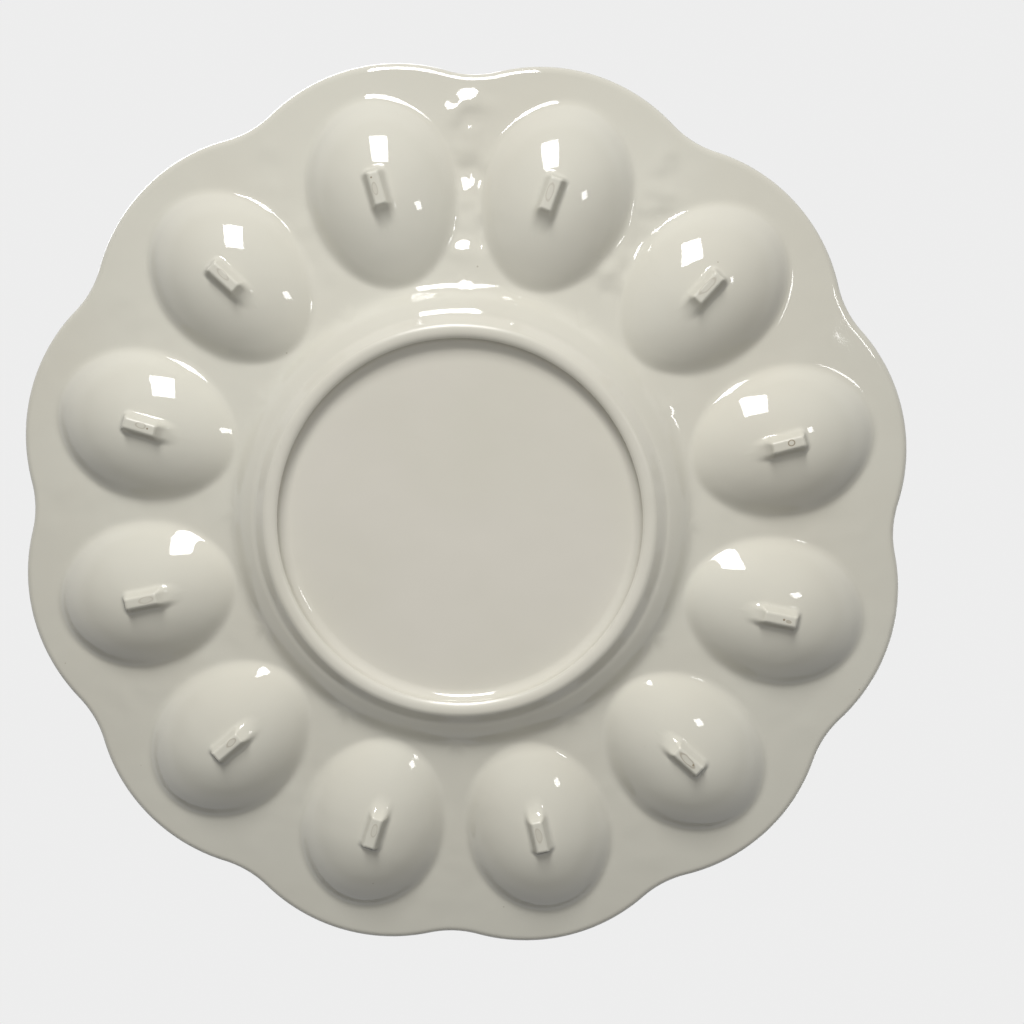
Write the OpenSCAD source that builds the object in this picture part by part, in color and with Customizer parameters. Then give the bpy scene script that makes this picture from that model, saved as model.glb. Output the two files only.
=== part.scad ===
// Round deviled egg platter in glazed earthenware, all sizes in millimetres.
// The platter lies level with its wells open upwards. The origin is the centre
// of the plane on which its foot ring and its twelve small feet rest.

/* [Rim] */
// Distance from the centre to the edge at the middle of a lobe
lobe_reach = 154.8; // [130:0.2:180]
// How far the edge draws in between two lobes
notch_depth = 6.4; // [5:0.1:8]
// Radius of the hollow outline between two lobes, seen from above
notch_radius = 32.6; // [26:0.2:40]
// Width of the rounded lip along the edge, seen from above
lip_width = 3; // [2.4:0.1:3.6]

/* [Flange] */
// Height of the flange's underside where it begins
flange_rise = 11; // [9:0.5:13]
// Slope of the flange upwards to the rim, in degrees
flange_slope = 6; // [4:0.5:8]
// Thickness of the flange, measured upright
flange_thickness = 5; // [4.2:0.1:6]

/* [Egg wells] */
// Width of the flange between a well's blunt end and the edge of its lobe
lobe_margin = 12; // [10:0.2:14]
// Space between two wells where they are widest
well_gap = 10.3; // [8.4:0.1:12.4]
// Length of a well from its widest part to its narrow end, which points inwards
narrow_length = 34.4; // [28:0.2:40]
// Length of a well from its widest part to its blunt end, which points outwards
blunt_length = 29.2; // [24:0.2:34]
// Height of the lowest part of a well above the resting plane
well_clearance = 3.5; // [2.5:0.1:4.5]
// Thickness of a well's wall
well_wall = 4.5; // [3.6:0.1:5.4]
// How far the narrow ends reach in past the place where the flange begins
narrow_end_overlap = 2.8; // [2:0.1:3.4]

/* [Well feet] */
// How far the middle of a foot lies inside the widest part of its well
foot_inset = 4.2; // [3:0.1:5.4]
// Length of the resting face, along the well
foot_length = 10.6; // [8:0.2:13]
// Width of the resting face
foot_width = 5.2; // [4:0.1:7]
// Slope of a foot's long sides away from upright, in degrees
foot_draft = 10; // [4:1:16]
// Slope of a foot's outer end away from upright, in degrees
foot_end_draft = 6; // [2:1:16]
// Radius of the hollow that sweeps a foot's inner end into the well
foot_sweep_radius = 6; // [5:0.25:8]

/* [Foot ring] */
// Width of the ledge between the foot ring and the wall of the dish
ring_ledge = 1; // [0.8:0.1:2]
// Width of the flat band on the ring's crest
ring_flat = 1.6; // [1:0.1:2.4]
// Radius of the roundings on both sides of the flat band
ring_round = 1.8; // [1:0.1:2.4]
// Slope of the ring's two flanks away from upright, in degrees
ring_flank = 38; // [28:1:44]

/* [Centre dish] */
// Width of the dish's wall, from the floor out to the flange, seen from above
wall_width = 13.6; // [12:0.2:16]
// Height of the floor's underside above the resting plane
floor_rise = 4.4; // [3.6:0.1:5.2]
// Thickness of the floor
floor_thickness = 4.6; // [3.8:0.1:5.6]

/* [Hidden] */
$fn = 96;
glaze = "#e4e0cf";

// Number of chords in each drawn curve, and of facets round an egg's outline
lobe_steps = 10;
notch_steps = 5;
lip_steps = 8;
wall_steps = 8;
round_steps = 6;
egg_facets = 360;
// Finest step in the radii of arcs that have to meet
finest = 0.001;

well_count = 12;
wells = [0 : well_count - 1];
pitch = 360 / well_count;
// Distance between the middles of two wells, as a share of their reach
pitch_share = 2 * sin(pitch / 2);

// The wells fill the circle and keep their space to each other and to the
// edge, so their reach and width follow from the platter's own reach
well_reach = lobe_reach - lobe_margin - blunt_length;
well_width = well_reach * pitch_share - well_gap;

// The rest of the platter follows inwards: flange, dish wall, floor and ring
flange_inner_radius = well_reach - narrow_length + narrow_end_overlap;
floor_radius = flange_inner_radius - wall_width;
ring_flank_foot = [
    ring_flat / 2 + ring_round * cos(ring_flank),
    ring_round * (1 - sin(ring_flank))
];
ring_half_width = ring_flank_foot.x
    + (floor_rise - ring_flank_foot.y) * tan(ring_flank);
ring_radius = floor_radius - ring_ledge - ring_half_width;

// The two curves of the dish's wall keep the slopes that they leave each end
// with for these shares of the wall's width
wall_foot_share = 0.32;
wall_top_share = 0.4;
wall_foot_slope = 11;

// The lobed edge: round lobes joined by smaller hollow arcs. A lobe's radius
// is the one with which it is tangent to the hollows on both of its sides.
notch_centre = lobe_reach - notch_depth + notch_radius;
notch_place = notch_centre * [cos(pitch / 2), sin(pitch / 2)];
lobe_radius = (
    pow(lobe_reach - notch_place.x, 2) + pow(notch_place.y, 2) - pow(notch_radius, 2)
) / (2 * (lobe_reach - notch_place.x + notch_radius));
lobe_centre = lobe_reach - lobe_radius;
lobe_half_angle = atan2(notch_place.y, notch_place.x - lobe_centre);
notch_half_angle = lobe_half_angle - pitch / 2;

// An egg well is a body of revolution about an axis that runs outwards,
// parallel to the flange and above it. Its outline along that axis is two
// arcs, a long one to the narrow end and a short one to the blunt end.
well_drop = flange_under(well_reach) - well_clearance;
egg_radius = egg_arc_radius(well_width / 2);
egg_axis_rise = egg_radius - well_drop;
narrow_arc = egg_arc_radius(narrow_length);
blunt_arc = egg_arc_radius(blunt_length);
// Radius at which the body's two ends are cut off, as a share of the axis's rise
egg_end_share = 0.4;
egg_end_radius = egg_axis_rise * egg_end_share;

foot_reach = well_reach - foot_inset;
// A foot is drawn up to this height inside its well, and the well is cut out
foot_top = flange_under(well_reach);
// Angle at which the hollow at a foot's inner end leaves the resting face
foot_sweep_lead = 22;

function flange_under(r) =
    flange_rise + (r - flange_inner_radius) * tan(flange_slope);

// Radius of the arc that falls by a well's drop over the given length. It is
// kept to the finest step, so that the arcs of an egg's outline meet exactly.
function egg_arc_radius(length) =
    finest * round((pow(length, 2) + pow(well_drop, 2)) / (2 * well_drop * finest));

// Distance from an egg's widest part to where an arc of its outline is cut off
function egg_arc_end(radius, wall) = sqrt(
    pow(radius - wall, 2) - pow(radius - egg_radius + egg_end_radius, 2)
);

// Points of a smooth curve that leaves a towards b and reaches d from c
function curve(a, b, c, d, steps) = [
    for (i = [0 : steps])
        let (t = i / steps, u = 1 - t)
            u * u * u * a + 3 * u * u * t * b + 3 * u * t * t * c + t * t * t * d
];

// Points of an arc about c, from angle first to angle last
function arc(c, radius, first, last, steps) = [
    for (i = [0 : steps])
        let (a = first + (last - first) * i / steps)
            c + radius * [cos(a), sin(a)]
];

function turned(p, angle) = [
    p.x * cos(angle) - p.y * sin(angle),
    p.x * sin(angle) + p.y * cos(angle)
];

function reversed(points) = [
    for (i = [len(points) - 1 : -1 : 0]) points[i]
];

function numbered(name, k) = str(name, k < 9 ? "0" : "", k + 1);

// Points along a lobe that lies on the X axis and along the hollow after it,
// drawn in by the given distance
function lobe_path(inset) = concat(
    arc(
        [lobe_centre, 0], lobe_radius - inset,
        -lobe_half_angle, lobe_half_angle, lobe_steps
    ),
    [
        for (i = [1 : notch_steps - 1])
            let (a = pitch / 2 + notch_half_angle * (1 - 2 * i / notch_steps))
                notch_place - (notch_radius + inset) * [cos(a), sin(a)]
    ]
);

// Points along the whole edge, drawn in by the given distance
function edge_path(inset) = [
    for (k = wells, p = lobe_path(inset))
        turned(p, pitch / 2 + k * pitch)
];

// Underside and top of the dish's wall, from the floor out to the flange
function wall_under() = curve(
    [floor_radius, floor_rise],
    [floor_radius, floor_rise]
        + wall_width * wall_foot_share * [1, tan(wall_foot_slope)],
    [flange_inner_radius, flange_rise]
        - wall_width * wall_top_share * [1, tan(flange_slope)],
    [flange_inner_radius, flange_rise],
    wall_steps
);
function wall_top() = curve(
    [floor_radius, floor_rise + floor_thickness],
    [floor_radius + wall_width * wall_foot_share, floor_rise + floor_thickness],
    [flange_inner_radius, flange_rise + flange_thickness]
        - wall_width * wall_top_share * [1, tan(flange_slope)],
    [flange_inner_radius, flange_rise + flange_thickness],
    wall_steps
);

// Turns a piece of well k from the X axis to its place round the platter
module in_place(k) {
    rotate([0, 0, pitch / 2 + k * pitch])
        children();
}

// Egg outline on both sides of its widest part, made smaller by the wall
module egg_section(wall) {
    intersection() {
        translate([egg_radius - blunt_arc, 0])
            circle(r = blunt_arc - wall, $fn = egg_facets);
        square([2 * egg_radius, egg_arc_end(blunt_arc, wall)]);
    }
    intersection() {
        translate([egg_radius - narrow_arc, 0])
            circle(r = narrow_arc - wall, $fn = egg_facets);
        mirror([0, 1])
            square([2 * egg_radius, egg_arc_end(narrow_arc, wall)]);
    }
}

// Whole egg body on the X axis, lying parallel to the flange
module egg_body(wall = 0) {
    translate([well_reach, 0, flange_under(well_reach)])
        rotate([0, -flange_slope, 0])
            translate([0, 0, egg_axis_rise])
                rotate([0, 90, 0])
                    rotate_extrude($fn = egg_facets / 2)
                        egg_section(wall);
}

module all_egg_bodies() {
    for (k = wells)
        in_place(k)
            egg_body();
}

// Everything below the platter's top face, out to past the wells
module under_top_face() {
    far = lobe_reach;
    rotate_extrude()
        polygon(concat(
            [[floor_radius, 0]],
            wall_top(),
            [[far, flange_under(far) + flange_thickness], [far, 0]]
        ));
}

module center_floor() {
    color(glaze)
        translate([0, 0, floor_rise])
            cylinder(r = floor_radius, h = floor_thickness);
}

// Ring with a flat crest, two rounded shoulders and two sloping flanks
module foot_ring() {
    shoulder = arc(
        [ring_flat / 2, ring_round], ring_round, -90, -ring_flank, round_steps
    );
    outer_side = concat(shoulder, [[ring_half_width, floor_rise]]);
    inner_side = [for (p = reversed(outer_side)) [-p.x, p.y]];
    color(glaze)
        rotate_extrude()
            translate([ring_radius, 0])
                polygon(concat(outer_side, inner_side));
}

// Curved wall of the dish, cut where the narrow ends of the wells run into it
module cavetto() {
    color(glaze)
        difference() {
            rotate_extrude()
                polygon(concat(wall_under(), reversed(wall_top())));
            all_egg_bodies();
        }
}

// Sloping flange with an egg-shaped seat for each well
module flange() {
    far = lobe_reach;
    color(glaze)
        difference() {
            intersection() {
                rotate_extrude()
                    polygon([
                        [flange_inner_radius, flange_rise],
                        [far, flange_under(far)],
                        [far, flange_under(far) + flange_thickness],
                        [flange_inner_radius, flange_rise + flange_thickness]
                    ]);
                linear_extrude(height = flange_under(far) + 2 * flange_thickness)
                    polygon(edge_path(lip_width));
            }
            all_egg_bodies();
        }
}

// Rounded lip swept along the lobed edge, as high as the flange that it ends
module rim_edge() {
    seam = edge_path(lip_width);
    edge = edge_path(0);
    rings = len(seam);
    side = lip_steps + 1;
    points = [
        for (i = [0 : rings - 1], j = [0 : lip_steps])
            let (
                swing = -90 + 180 * j / lip_steps,
                p = seam[i] + (edge[i] - seam[i]) * cos(swing),
                middle = flange_under(norm(seam[i])) + flange_thickness / 2
            )
                [p.x, p.y, middle + flange_thickness / 2 * sin(swing)]
    ];
    faces = [
        for (i = [0 : rings - 1], j = [0 : lip_steps])
            let (
                next_i = (i + 1) % rings,
                next_j = (j + 1) % side,
                a = i * side + j,
                b = next_i * side + j,
                c = next_i * side + next_j,
                d = i * side + next_j
            )
                each [[a, d, c], [a, c, b]]
    ];
    color(glaze)
        polyhedron(points = points, faces = faces);
}

// Half-egg well, level with the platter's top face
module egg_well(k) {
    color(glaze)
        in_place(k)
            difference() {
                intersection() {
                    egg_body();
                    under_top_face();
                }
                egg_body(well_wall);
            }
}

// Side view of a foot: steep outer end, hollow inner end
module foot_side_view() {
    half_length = foot_length / 2;
    sweep_centre = [
        -half_length - foot_sweep_radius * cos(foot_sweep_lead),
        -foot_sweep_radius * sin(foot_sweep_lead)
    ];
    difference() {
        polygon([
            [sweep_centre.x, 0],
            [half_length, 0],
            [half_length + foot_top * tan(foot_end_draft), foot_top],
            [sweep_centre.x, foot_top]
        ]);
        translate(sweep_centre)
            circle(r = foot_sweep_radius);
    }
}

// End view of a foot: wider towards the well by the draft of its long sides
module foot_end_view() {
    half_width = foot_width / 2;
    half_width_top = half_width + foot_top * tan(foot_draft);
    polygon([
        [-half_width, 0],
        [half_width, 0],
        [half_width_top, foot_top],
        [-half_width_top, foot_top]
    ]);
}

// Small foot that stands under a well, seated against the well's outside
module well_foot(k) {
    depth = foot_width + 2 * foot_top;
    span = foot_length + 2 * foot_sweep_radius;
    color(glaze)
        in_place(k)
            difference() {
                translate([foot_reach, 0, 0])
                    intersection() {
                        rotate([90, 0, 0])
                            linear_extrude(height = depth, center = true)
                                foot_side_view();
                        rotate([90, 0, 90])
                            linear_extrude(height = span, center = true)
                                foot_end_view();
                    }
                egg_body();
            }
}

center_floor();
foot_ring();
cavetto();
flange();
rim_edge();
for (k = wells) {
    egg_well(k);
    well_foot(k);
}
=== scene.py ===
"""Looks of a deviled egg platter: one glazed casting on a foot ring and twelve feet.

Each feature of the casting is a piece of its own. All of them share one form,
which gives the height of the underside and of the top over any place, so that
neighbours meet in the same points and look cast in one.
"""

from math import acos, atan2, cos, floor, hypot, pi, radians, sin, sqrt, tan

import bpy
from bpy.props import FloatProperty, FloatVectorProperty, PointerProperty
from mathutils import Matrix, Vector, kdtree


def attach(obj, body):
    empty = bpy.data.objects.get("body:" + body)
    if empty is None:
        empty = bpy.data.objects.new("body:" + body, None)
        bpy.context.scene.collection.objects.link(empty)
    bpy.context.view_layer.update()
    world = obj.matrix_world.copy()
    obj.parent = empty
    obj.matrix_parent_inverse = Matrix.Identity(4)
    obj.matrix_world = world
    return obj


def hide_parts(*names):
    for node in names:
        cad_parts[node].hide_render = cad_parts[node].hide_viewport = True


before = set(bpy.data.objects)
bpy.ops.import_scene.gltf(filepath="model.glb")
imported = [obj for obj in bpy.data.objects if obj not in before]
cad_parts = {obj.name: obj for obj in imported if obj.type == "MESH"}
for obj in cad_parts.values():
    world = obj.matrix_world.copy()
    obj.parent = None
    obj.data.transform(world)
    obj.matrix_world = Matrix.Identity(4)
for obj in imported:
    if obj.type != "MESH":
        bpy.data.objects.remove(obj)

bl_info = {
    "name": "Deviled Egg Platter",
    "version": (1, 0, 0),
    "blender": (4, 5, 0),
    "location": "View3D > Sidebar > Platter",
    "description": "Builds the glazed platter, its wells and feet, and the studio round it",
    "category": "Add Mesh",
}

WELLS = 12
PITCH = 2 * pi / WELLS

# Points of one well's share of the platter, counted along its border: the
# lobed edge, its two straight sides and the arc next to the dish's wall
EDGE_STEPS = 45
SIDE_STEPS = 42
ARC_STEPS = 21

# Points of a piece that lie closer together than this are one point, and points
# of two pieces share their shading up to a slightly greater distance
SAME_PLACE = 0.000004
SEAM_REACH = 0.00001

# A face whose direction has a smaller upright share than this stands upright
UPRIGHT = 0.05

# A tube starts as a circle of this radius, with steps of this height, before
# its rings are laid on the form
TUBE_RADIUS = 0.02
TUBE_STEP = 0.001

# Height of the hidden step at which the floor's piece lies on the ring's piece
HIDDEN_STEP = 0.001

# How deep a foot's piece reaches into its well's wall
FOOT_SINK = 0.0012

# More than a well spreads from its middle, and than a foot's sides spread
WELL_SPREAD = 0.045
FOOT_SPREAD = 0.014

# Underside from the foot ring's inner edge, over its rounded crest, the ledge
# and the dish's wall to the flange: radius and height in millimetres, and the
# slope there in degrees
DISH_SIDE = (
    (59.9, 0.98, -46),
    (60.5, 0.51, -30),
    (61.4, 0.14, -14),
    (62.6, 0, 0),
    (63.3, 0.05, 10),
    (64.2, 0.37, 29),
    (65.1, 1.07, 43.5),
    (67.2, 3.05, 43),
    (68.5, 3.97, 25),
    (69.6, 4.5, 29),
    (71.5, 5.64, 32),
    (74.2, 7.59, 41),
    (75.7, 8.88, 39),
    (77.6, 10.11, 25),
    (79, 10.57, 12.5),
    (82, 11, 6),
)

# How uneven the flange is between two wells, gap by gap
GAP_WAVES = (0.2, 0.15, 0.1, 0.1, 0.1, 0.15, 0.2, 0.25, 0.4, 2.0, 1.4, 0.1)

# Feet as they were pressed on by hand: millimetres outwards, millimetres
# sideways and degrees of turn from the middle line of the well
FOOT_PLACES = (
    (0.6, 0.4, -5),
    (0.4, -0.2, -5),
    (-0.4, -0.9, 1),
    (-0.7, -1.4, 1),
    (-1.1, -1.0, 3),
    (-0.9, -0.7, 2),
    (-0.7, 0.6, 0),
    (0.0, -0.2, -4),
    (0.8, -0.2, -2),
    (-0.2, -1.5, 4),
    (0.6, 0.2, -4),
    (0.3, 0.0, -1),
)

# Mark of the kiln pin on each resting face: middle outwards and sideways and
# half lengths in millimetres, how much of it is filled and how dark it is
PIN_MARKS = (
    (3.2, 0.4, 0.9, 0.5, 0.8, 0.6),
    (-0.2, -0.3, 3.4, 1.0, 0.1, 0.55),
    (-1.1, -0.8, 2.4, 1.0, 0.5, 0.3),
    (-1.9, -1.5, 2.3, 0.9, 0.2, 0.3),
    (-3.2, -0.7, 1.9, 0.9, 0.2, 0.45),
    (-2.8, -0.6, 2.3, 1.0, 0.2, 0.28),
    (-1.0, 1.2, 1.7, 0.9, 0.1, 0.4),
    (0.8, 0.4, 2.3, 0.9, 0.1, 0.28),
    (0.6, -0.7, 1.9, 0.8, 0.4, 0.35),
    (0.1, -2.0, 2.9, 1.0, 0.1, 0.28),
    (0.8, -0.4, 3.3, 1.1, 0.1, 0.32),
    (1.3, -0.4, 1.1, 0.95, 0.0, 0.95),
)

# Dark specks on some of the resting faces, by the number of the foot: middle
# and radius in millimetres. The other feet have theirs past the end of the face
SPECKS = {1: (1.6, 0.2, 0.45), 2: (2.4, -0.6, 0.4), 7: (-3.5, 0.8, 0.35), 9: (4.3, -1.0, 0.4)}
NO_SPECK = (9, 9, 0.1)


def length(name, description, default):
    return FloatProperty(
        name=name, description=description, default=default, unit="LENGTH", precision=5
    )


def angle(name, description, degrees):
    return FloatProperty(
        name=name, description=description, default=radians(degrees), subtype="ANGLE"
    )


def share(name, description, default):
    return FloatProperty(
        name=name, description=description, default=default, min=0, max=1, subtype="FACTOR"
    )


def power(name, description, default):
    return FloatProperty(name=name, description=description, default=default, unit="POWER")


def tint(name, description, red, green, blue):
    return FloatVectorProperty(
        name=name, description=description, subtype="COLOR", size=4, min=0, max=1,
        default=(red, green, blue, 1),
    )


class PlatterSizes(bpy.types.PropertyGroup):
    """Sizes of the platter's form."""

    lobe_reach: length("Lobe reach", "From the centre to the edge of a lobe", 0.1548)
    notch_depth: length("Notch depth", "How far the edge draws in between lobes", 0.0064)
    notch_radius: length("Notch radius", "Radius of the edge between lobes", 0.0326)
    lip_width: length("Lip width", "Width of the rounded lip", 0.003)
    flange_rise: length("Flange rise", "Height at which the flange begins", 0.011)
    flange_slope: angle("Flange slope", "Slope of the flange up to the rim", 6)
    flange_thickness: length("Flange thickness", "Measured upright", 0.005)
    flange_start: length("Flange start", "Radius at which the flange begins", 0.082)
    split: length("Split", "Radius at which the wall and flange pieces meet", 0.075)
    floor_radius: length("Floor radius", "Radius of the flat floor", 0.0684)
    floor_rise: length("Floor rise", "Height of the floor's underside", 0.0044)
    floor_thickness: length("Floor thickness", "Thickness of the floor", 0.0046)


class WellSizes(bpy.types.PropertyGroup):
    """Sizes of the egg wells."""

    reach: length("Reach", "From the centre to the widest part", 0.1136)
    half_width: length("Half width", "Half of a well's width", 0.024252)
    narrow_length: length("Narrow length", "Widest part to narrow end", 0.0344)
    blunt_length: length("Blunt length", "Widest part to blunt end", 0.0292)
    clearance: length("Clearance", "Height of the lowest part", 0.0035)
    wall: length("Wall", "Thickness of the wall", 0.0045)
    waist: length("Waist", "Width over which the two ends blend", 0.008)
    outer_soft: length("Outer softness", "Roundness where a well meets the flange", 0.0032)
    inner_soft: length("Inner softness", "Roundness of a hollow's edge", 0.0022)
    narrow_crisp: share(
        "Narrow end crispness", "How much of that roundness the narrow end lacks", 0.58
    )


class RingSizes(bpy.types.PropertyGroup):
    """Sizes of the foot ring."""

    start: length("Start", "Radius at which the ring's piece begins", 0.055)
    inner_foot: length("Inner foot", "Radius at which the inner side meets the floor", 0.0593)
    inner_edge: length("Inner edge", "Inner radius of the crest", 0.0599)
    cove: length("Cove", "Radius of the hollow between floor and ring", 0.0036)
    inner_round: length("Inner rounding", "Radius of the crest's inner edge", 0.0006)


class FootSizes(bpy.types.PropertyGroup):
    """Sizes of the small feet."""

    reach: length("Reach", "From the centre to the middle of a foot", 0.1094)
    length: length("Length", "Length of the resting face", 0.0106)
    width: length("Width", "Width of the resting face", 0.0036)
    side_draft: angle("Side draft", "Slope of the long sides", 26)
    end_draft: angle("End draft", "Slope of the outer end", 25)
    sweep_radius: length("Sweep radius", "Hollow at the inner end", 0.006)
    sweep_lead: angle("Sweep lead", "Angle at which the hollow begins", 22)
    sweep_end: angle("Sweep end", "Slope at which the hollow runs out", 35)
    edge_soft: length("Edge softness", "Roundness of the resting face's edge", 0.002)
    base_soft: length("Base softness", "Roundness where a foot meets its well", 0.0026)


class GlazeLooks(bpy.types.PropertyGroup):
    """Looks of the glaze."""

    color: tint("Glaze", "Colour of the ivory glaze on the floor", 0.64, 0.61, 0.535)
    outer: tint("Outer glaze", "Colour of the glaze outside the floor", 0.633, 0.614, 0.532)
    pooled: tint("Pooled glaze", "Colour where the glaze lies thicker", 0.612, 0.587, 0.503)
    bare: tint("Bare clay", "Colour of the clay in a pin's mark", 0.26, 0.21, 0.14)
    roughness: share("Roughness", "Roughness of the glaze", 0.05)
    worn: share("Worn", "Roughness where the platter rests", 0.3)
    bare_roughness: share("Bare roughness", "Roughness of the bare clay", 0.6)
    waves: length("Waves", "Height of the glaze's slow waves", 0.00022)


class StudioLooks(bpy.types.PropertyGroup):
    """Light and background."""

    key_power: power("Key", "Key lamp, which lights the underside", 35)
    small_power: power("Small lamp", "Small lamp at the side", 2)
    front_power: power("Front", "Soft lamp beside the camera", 0.4)
    top_power: power("Top", "Lamps above", 6.5)
    world_above: share("World above", "Light from all round above", 0.55)
    world_below: share("World below", "Broad light from below", 0.25)
    world_faint: share("World all round", "Faint light from everywhere", 0.03)
    backdrop: share("Backdrop", "Brightness of the background", 0.85)
    mirrored: share("Mirrored", "Brightness of what the glaze mirrors from below", 0.35)


def curve(a, b, c, d, t):
    """Point at t of a smooth curve that leaves a towards b and reaches d from c."""
    u = 1 - t
    return tuple(
        u**3 * p + 3 * u * u * t * q + 3 * u * t * t * r + t**3 * s
        for p, q, r, s in zip(a, b, c, d)
    )


def height_on(points, r):
    """Height of a smooth curve over radius r."""
    low, high = 0.0, 1.0
    for _ in range(26):
        t = (low + high) / 2
        if curve(*points, t)[0] < r:
            low = t
        else:
            high = t
    return curve(*points, low)[1]


def eased(t):
    """Slow start and slow end from 0 to 1."""
    t = min(max(t, 0.0), 1.0)
    return t * t * (3 - 2 * t)


def lower(a, b, soft):
    """The lower of two heights, with the corner between them rounded."""
    h = max(soft - abs(a - b), 0.0) / soft
    return min(a, b) - soft * h**3 / 6


class Form:
    """Heights of the platter, in the frame of a well that lies along X."""

    def __init__(self, sizes, well):
        self.sizes = sizes
        self.well = well
        self.slope = tan(sizes.flange_slope)
        self.tilt = sizes.flange_slope
        # The top of the dish's wall leaves the floor level and meets the flange
        # at its own slope
        floor_top = sizes.floor_rise + sizes.floor_thickness
        width = sizes.flange_start - sizes.floor_radius
        leaving = sizes.floor_radius + 0.32 * width
        meeting = sizes.flange_start - 0.4 * width
        self.wall_top = (
            (sizes.floor_radius, floor_top),
            (leaving, floor_top),
            (meeting, self.flange(meeting) + sizes.flange_thickness),
            (sizes.flange_start, sizes.flange_rise + sizes.flange_thickness),
        )
        # The egg body: its axis lies parallel to the flange and above it
        drop = self.flange(well.reach) - well.clearance
        self.radius = (well.half_width**2 + drop**2) / (2 * drop)
        self.narrow = (well.narrow_length**2 + drop**2) / (2 * drop)
        self.blunt = (well.blunt_length**2 + drop**2) / (2 * drop)
        rise = self.radius - drop
        self.axis_x = well.reach - rise * sin(self.tilt)
        self.axis_z = self.flange(well.reach) + rise * cos(self.tilt)
        # The lobed edge: round lobes joined by smaller hollow arcs
        far = sizes.lobe_reach - sizes.notch_depth + sizes.notch_radius
        self.notch = (far * cos(PITCH / 2), far * sin(PITCH / 2))
        self.lobe_radius = (
            (sizes.lobe_reach - self.notch[0]) ** 2
            + self.notch[1] ** 2
            - sizes.notch_radius**2
        ) / (2 * (sizes.lobe_reach - self.notch[0] + sizes.notch_radius))
        self.lobe_centre = sizes.lobe_reach - self.lobe_radius
        self.lobe_angle = atan2(self.notch[1], self.notch[0] - self.lobe_centre)

    def flange(self, r):
        """Height of the flange's underside."""
        return self.sizes.flange_rise + (r - self.sizes.flange_start) * self.slope

    def plain_under(self, r):
        """Underside without the wells: ring, ledge, wall and flange."""
        if r >= self.sizes.flange_start:
            return self.flange(r)
        r *= 1000
        i = 0
        while i < len(DISH_SIDE) - 2 and DISH_SIDE[i + 1][0] < r:
            i += 1
        (start, low, slope), (end, high, last_slope) = DISH_SIDE[i : i + 2]
        third = (end - start) / 3
        points = (
            (low,),
            (low + tan(radians(slope)) * third,),
            (high - tan(radians(last_slope)) * third,),
            (high,),
        )
        return curve(*points, (r - start) / (end - start))[0] / 1000

    def plain_top(self, r):
        """Top without the wells."""
        if r <= self.sizes.floor_radius:
            return self.sizes.floor_rise + self.sizes.floor_thickness
        if r < self.sizes.flange_start:
            return height_on(self.wall_top, r)
        return self.flange(r) + self.sizes.flange_thickness

    def egg_radius(self, u, wall):
        """Radius of the egg body at u along its axis."""
        blunt = (self.blunt - wall) ** 2 - u * u
        narrow = (self.narrow - wall) ** 2 - u * u
        if blunt <= 0 or narrow <= 0:
            return 0.0
        blunt = self.radius - self.blunt + sqrt(blunt)
        narrow = self.radius - self.narrow + sqrt(narrow)
        part = eased(0.5 + u / (2 * self.well.waist))
        return blunt * part + narrow * (1 - part)

    def egg(self, x, y, wall=0.0):
        """Height of the egg body's lower side, or a great height outside it."""
        out = x - self.axis_x
        z = self.well.clearance
        for _ in range(16):
            u = out * cos(self.tilt) + (z - self.axis_z) * sin(self.tilt)
            radius = self.egg_radius(u, wall)
            if radius <= abs(y):
                return 1.0
            w = -sqrt(radius * radius - y * y)
            z = self.axis_z + (w + out * sin(self.tilt)) / cos(self.tilt)
        return z

    def under(self, x, y):
        """Underside with the wells."""
        inward = (self.well.reach - x) / self.well.narrow_length
        crisp = self.well.narrow_crisp * eased(2 * inward - 1)
        soft = self.well.outer_soft * (1 - crisp)
        return lower(self.plain_under(hypot(x, y)), self.egg(x, y), soft)

    def top(self, x, y):
        """Top with the wells."""
        hollow = self.egg(x, y, self.well.wall)
        return lower(self.plain_top(hypot(x, y)), hollow, self.well.inner_soft)

    def under_normal(self, x, y):
        """Direction in which the underside faces."""
        step = 0.0001
        slope_x = (self.under(x + step, y) - self.under(x - step, y)) / (2 * step)
        slope_y = (self.under(x, y + step) - self.under(x, y - step)) / (2 * step)
        return Vector((slope_x, slope_y, -1)).normalized()

    def edge(self, part, inset):
        """Place on the lobed edge, from -1 at one notch to 1 at the next one."""
        lip = self.sizes.lip_width
        lobe = (self.lobe_radius - lip) * self.lobe_angle
        whole = lobe + (self.sizes.notch_radius + lip) * (self.lobe_angle - PITCH / 2)
        along = abs(part) * whole
        if along <= lobe:
            turn = along / (self.lobe_radius - lip)
            radius = self.lobe_radius - inset
            x, y = self.lobe_centre + radius * cos(turn), radius * sin(turn)
        else:
            turn = self.lobe_angle - (along - lobe) / (self.sizes.notch_radius + lip)
            radius = self.sizes.notch_radius + inset
            x, y = self.notch[0] - radius * cos(turn), self.notch[1] - radius * sin(turn)
        return x, y if part > 0 else -y

    def border(self):
        """Border of one well's share of the flange, seen from above."""
        side, split = PITCH / 2, self.sizes.split
        lip = self.sizes.lip_width
        points = [self.edge(2 * i / EDGE_STEPS - 1, lip) for i in range(EDGE_STEPS)]
        foot, away = self.well.reach * cos(side), self.well.reach * sin(side)
        far = atan2(hypot(*self.edge(1, lip)) - foot, away)
        near = atan2(split - foot, away)
        radii = [
            foot + away * tan(far + (near - far) * i / SIDE_STEPS)
            for i in range(SIDE_STEPS + 1)
        ]
        points += [(r * cos(side), r * sin(side)) for r in radii[:-1]]
        turns = [side - PITCH * i / ARC_STEPS for i in range(ARC_STEPS)]
        points += [(split * cos(turn), split * sin(turn)) for turn in turns]
        points += [(r * cos(side), -r * sin(side)) for r in reversed(radii[1:])]
        return points

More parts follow.
